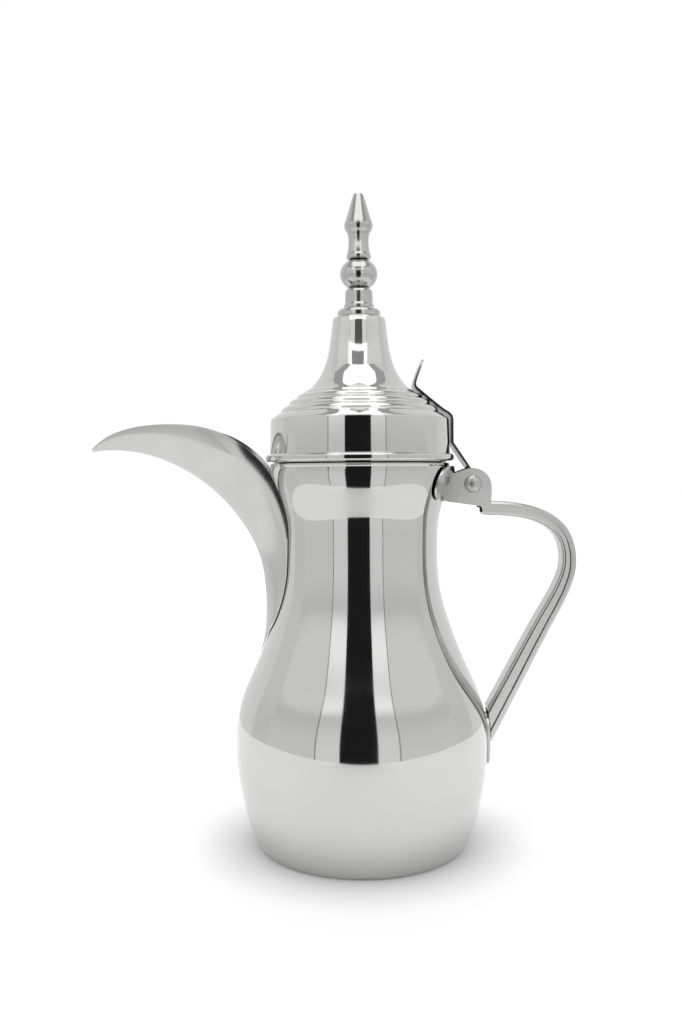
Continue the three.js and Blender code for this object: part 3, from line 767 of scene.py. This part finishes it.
def satin_steel():
    """Pressed sheet with a smooth satin skin and cloudy rubbed patches."""
    material, nodes, links, principled = shader("satin_steel", (0.56, 0.56, 0.555))
    patches = ramp(nodes, links, noise(nodes, links, 55, detail=4), 0.3, 0.7, 0.14, 0.24)
    grain = ramp(nodes, links, noise(nodes, links, 900, (1, 1, 0.35), 2), 0.3, 0.7, -0.01, 0.01)
    links.new(add(nodes, links, patches, grain), principled.inputs["Roughness"])
    tint = ramp(nodes, links, noise(nodes, links, 40, detail=5), 0.3, 0.7, 0.0, 1.0)
    two_tone(nodes, links, principled, tint, (0.53, 0.53, 0.525), (0.59, 0.59, 0.585))
    bump(nodes, links, principled, noise(nodes, links, 120, detail=2), 0.00001, 0.5)
    return material


PAINTED_SHADE_Z = (0.2, 0.209)  # metres up the strap over which its painted shade, a near-black base colour standing in for the dark reflection along it, gives way to lighter steel


def darkened_steel():
    """Smooth strip with painted shade: a near-black base colour stands in for the dark reflection along it,
    giving way to lighter steel at the tab.
    """
    material, nodes, links, principled = shader("darkened_steel", (0.14, 0.14, 0.14))
    haze = ramp(nodes, links, noise(nodes, links, 80, detail=4), 0.3, 0.7, 0.14, 0.26)
    links.new(haze, principled.inputs["Roughness"])
    place = nodes.new("ShaderNodeTexCoord")
    split = nodes.new("ShaderNodeSeparateXYZ")
    links.new(place.outputs["Object"], split.inputs["Vector"])
    painted_shade_fade = ramp(nodes, links, split.outputs["Z"], *PAINTED_SHADE_Z, 0.0, 1.0)
    # painted shade: near-black base colour below the ramp, lighter steel above it on the tab
    two_tone(nodes, links, principled, painted_shade_fade, (0.055, 0.055, 0.055), (0.4, 0.4, 0.395))
    return material


def plain_steel():
    """Machined fixings: duller, with turning marks."""
    material, nodes, links, principled = shader("plain_steel", (0.5, 0.5, 0.495))
    marks = ramp(nodes, links, noise(nodes, links, 300, (0.2, 0.2, 4), 3), 0.3, 0.7, 0.28, 0.45)
    links.new(marks, principled.inputs["Roughness"])
    bump(nodes, links, principled, noise(nodes, links, 500, (0.2, 0.2, 4), 2), 0.00003, 0.5)
    return material


# ---- Stage: floor, tent cards, camera ----
def glow(name, colour, strength):
    material = bpy.data.materials.new(name)
    material.use_nodes = True
    nodes, links = material.node_tree.nodes, material.node_tree.links
    nodes.clear()
    emission = nodes.new("ShaderNodeEmission")
    emission.inputs["Color"].default_value = (*colour, 1)
    emission.inputs["Strength"].default_value = strength
    out = nodes.new("ShaderNodeOutputMaterial")
    links.new(emission.outputs["Emission"], out.inputs["Surface"])
    return material


def stage_panel(name, mesh, strength=1.0):
    """A glowing panel of the light tent that the lens itself doesn't see."""
    panel = bpy.data.objects.new(name, mesh)
    scene.collection.objects.link(panel)
    mesh.materials.append(glow(name, (1, 1, 1), strength))
    panel.visible_camera = False
    return panel


def card(name, corners, strength):
    """A glowing flat card, in millimetres."""
    mesh = bpy.data.meshes.new(name)
    mesh.from_pydata([[v * MM for v in corner] for corner in corners], [], [tuple(range(len(corners)))])
    return stage_panel(name, mesh, strength)


# Millimetres and degrees. An azimuth is 0 towards the lens and grows towards +X; a glow of 1 is white.
TENT = {"half_x": 480, "half_y": 325, "top": 620}
SLIT = (-18.5, 12.0)
SLIT_TOP = 378
SEAMS = (-38.5, 29.5)
SEAM_HALF = 0.7
SIDE_END = 88
FLANK_END = 111
REAR_MIDDLE = (165, 195)
SOFTBOX = (-46, 31)
SOFTBOX_DIM = (-30, 17)
SOFTBOX_DIM_Z = 420
LAMP_GLOW = 1.7
# The +X half of each card on the roof, from front to back.
LAMP = [(190, -350), (250, -110), (70, 170), (70, 350)]
LAMP_SHADE = [(330, -350), (400, 60), (120, 200), (110, 350)]
ROOF = [(500, -350), (500, 350)]
CARD_STEP = 5
FLOOR_GLOW = (0.0, 0.29)
# metres from the pot's axis over which the floor's painted contact shadow gives way to its glow
FLOOR_PAINTED_SHADE = (0.045, 0.075)


def wall_point(azimuth, height):
    """A point on the tent's oval wall."""
    a = math.radians(azimuth)
    reach = 1 / math.hypot(math.sin(a) / TENT["half_x"], math.cos(a) / TENT["half_y"])
    return (reach * math.sin(a), -reach * math.cos(a), height)


def wall(name, start, end, glows, low=0, high=TENT["top"]):
    """A panel of the tent's wall. glows lists (height, glow) pairs from the floor up."""
    steps = max(2, round(abs(end - start) / 5))
    heights = [low, high]
    azimuths = [start + (end - start) * i / steps for i in range(steps + 1)]
    mesh = bpy.data.meshes.new(name)
    points = [wall_point(a, h) for h in heights for a in azimuths]
    row = steps + 1
    mesh.from_pydata(
        [[v * MM for v in point] for point in points], [],
        [(i, i + 1, row + i + 1, row + i) for i in range(steps)],
    )
    panel = stage_panel(name, mesh)
    tree = mesh.materials[0].node_tree
    place = tree.nodes.new("ShaderNodeTexCoord")
    split = tree.nodes.new("ShaderNodeSeparateXYZ")
    tree.links.new(place.outputs["Object"], split.inputs["Vector"])
    height = ramp(tree.nodes, tree.links, split.outputs["Z"], 0, TENT["top"] * MM, 0, 1)
    colours = tree.nodes.new("ShaderNodeValToRGB")
    colours.color_ramp.interpolation = "EASE"
    while len(colours.color_ramp.elements) < len(glows):
        colours.color_ramp.elements.new(0.5)
    for element, (at, glow_there) in zip(colours.color_ramp.elements, glows):
        element.position = at / TENT["top"]
        element.color = (glow_there / 2, glow_there / 2, glow_there / 2, 1)
    tree.links.new(height, colours.inputs["Fac"])
    tree.links.new(colours.outputs["Color"], tree.nodes["Emission"].inputs["Color"])
    tree.nodes["Emission"].inputs["Strength"].default_value = 2.0
    return panel


def mirrored(side, height):
    """A level outline from the points of its +X side, listed from front to back."""
    return [(x, y, height) for x, y in side] + [(-x, y, height) for x, y in reversed(side)]


def tent():
    """Walls that only the steel sees: an oval with a slit for the lens, a softbox above it and a roof."""
    cheek = [(0, 0.92), (110, 0.9), (205, 0.78), (255, 1.25), (300, 1.0), (SLIT_TOP, 0.95)]
    side = [(0, 0.82), (110, 0.8), (205, 0.72), (260, 0.9), (340, 0.85), (430, 0.95), (600, 0.9)]
    flank = [(0, 0.78), (110, 0.76), (230, 0.8), (380, 0.8), (480, 0.8)]
    backdrop = [(0, 0.88), (230, 0.86), (600, 0.88)]
    backdrop_middle = [(0, 0.88), (230, 0.86), (430, 0.95), (450, LAMP_GLOW), (600, LAMP_GLOW)]
    dark = [(0, 0.016), (270, 0.016), (320, 0.1), (SLIT_TOP, 0.14)]
    seam = [(0, 0.03), (SLIT_TOP, 0.03)]
    bright = [(0, LAMP_GLOW), (TENT["top"], LAMP_GLOW)]
    dim = [(0, 0.36), (TENT["top"], 0.36)]

    wall("cheek_left", SEAMS[0], SLIT[0], cheek, high=SLIT_TOP)
    wall("cheek_right", SLIT[1], SEAMS[1], cheek, high=SLIT_TOP)
    wall("slit", *SLIT, dark, low=-2, high=SLIT_TOP)
    for edge in SEAMS:
        wall(f"seam_{edge:.0f}", edge - SEAM_HALF, edge + SEAM_HALF, seam, high=SLIT_TOP)
    wall("side_left", -SIDE_END, SEAMS[0] - SEAM_HALF, side)
    wall("side_right", SEAMS[1] + SEAM_HALF, SIDE_END, side)
    wall("flank_left", -FLANK_END, -SIDE_END, flank)
    wall("flank_right", SIDE_END, FLANK_END, flank)
    wall("rear_left", REAR_MIDDLE[1], 360 - FLANK_END, backdrop)
    wall("rear_right", FLANK_END, REAR_MIDDLE[0], backdrop)
    wall("rear_middle", *REAR_MIDDLE, backdrop_middle)
    wall("softbox_low", *SOFTBOX, bright, low=SLIT_TOP, high=SOFTBOX_DIM_Z)
    wall("softbox_left", SOFTBOX[0], SOFTBOX_DIM[0], bright, low=SOFTBOX_DIM_Z)
    wall("softbox_right", SOFTBOX_DIM[1], SOFTBOX[1], bright, low=SOFTBOX_DIM_Z)
    wall("softbox_middle", *SOFTBOX_DIM, dim, low=SOFTBOX_DIM_Z)

    roof_cards = [("roof", ROOF, 0.85), ("lamp_shade", LAMP_SHADE, 0.48), ("lamp", LAMP, LAMP_GLOW)]
    for layer, (name, half, strength) in enumerate(roof_cards):
        card(name, mirrored(half, TENT["top"] - layer * CARD_STEP), strength)


def floor():
    """A pale sweep with its own glow, which fades out under the pot as a painted contact shadow."""
    size = 6000
    mesh = bpy.data.meshes.new("floor")
    corners = [(-size, -TENT["half_y"] + 10), (size, -TENT["half_y"] + 10), (size, size), (-size, size)]
    mesh.from_pydata([(x * MM, y * MM, 0) for x, y in corners], [], [(0, 1, 2, 3)])
    plane = bpy.data.objects.new("floor", mesh)
    scene.collection.objects.link(plane)
    material, nodes, links, principled = shader("floor", (0.9, 0.9, 0.9), 0.0)
    principled.inputs["Roughness"].default_value = 0.85
    principled.inputs["Specular IOR Level"].default_value = 0.2
    principled.inputs["Emission Color"].default_value = (1, 1, 1, 1)
    place = nodes.new("ShaderNodeTexCoord")
    reach = nodes.new("ShaderNodeVectorMath")
    reach.operation = "LENGTH"
    links.new(place.outputs["Object"], reach.inputs[0])
    # painted shadow: the glow is taken away near the pot, darkening the floor under and around it
    strength = ramp(nodes, links, reach.outputs["Value"], *FLOOR_PAINTED_SHADE, *FLOOR_GLOW)
    links.new(strength, principled.inputs["Emission Strength"])
    mesh.materials.append(material)


def camera():
    data = bpy.data.cameras.new("camera")
    data.sensor_fit = "AUTO"
    data.sensor_width = 36.0
    data.lens = 960 / 1024 * 36.0
    data.clip_start = 0.01
    holder = bpy.data.objects.new("camera", data)
    scene.collection.objects.link(holder)
    eye = Vector((-0.0083, -0.432, 0.1634))
    holder.location = eye
    holder.rotation_euler = (math.pi / 2, math.radians(0.35), 0)
    data.shift_y = -38 / 1024
    scene.camera = holder


def world():
    scene.world = bpy.data.worlds.new("tent")
    scene.world.use_nodes = True
    background = scene.world.node_tree.nodes["Background"]
    background.inputs["Color"].default_value = (1, 1, 1, 1)
    background.inputs["Strength"].default_value = 1.0


vessel()
base_plate()
spout_half("spout_near", -1, "spout_half_near")
spout_half("spout_far", 1, "spout_half_far")
bracket()
rivet()
handle_shell("handle_back", outer_section, "handle_outer_shell")
handle_shell("handle_front", inner_section, "handle_inner_shell")
handle_foot()
lid_dome()
seat_ring()
strap()
finial()

finishes = {
    "polished_steel": polished_steel(),
    "turned_steel": turned_steel(),
    # darkened_steel paints shade: a near-black base colour in place of a dark reflection
    "darkened_steel": darkened_steel(),
    "satin_steel": satin_steel(),
    "plain_steel": plain_steel(),
}
slots = {row["node"]: row["material_slot"] for row in frame["record"]["subparts"]}
for name, node in frame["nodes"].items():
    node.data.materials.clear()
    node.data.materials.append(finishes[slots[name]])
for piece in list(scene.objects):
    if piece.type == "MESH" and "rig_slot" in piece:
        piece.data.materials.clear()
        piece.data.materials.append(finishes[piece["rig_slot"]])

floor()
tent()
world()
camera()
scene.view_settings.view_transform = "Standard"
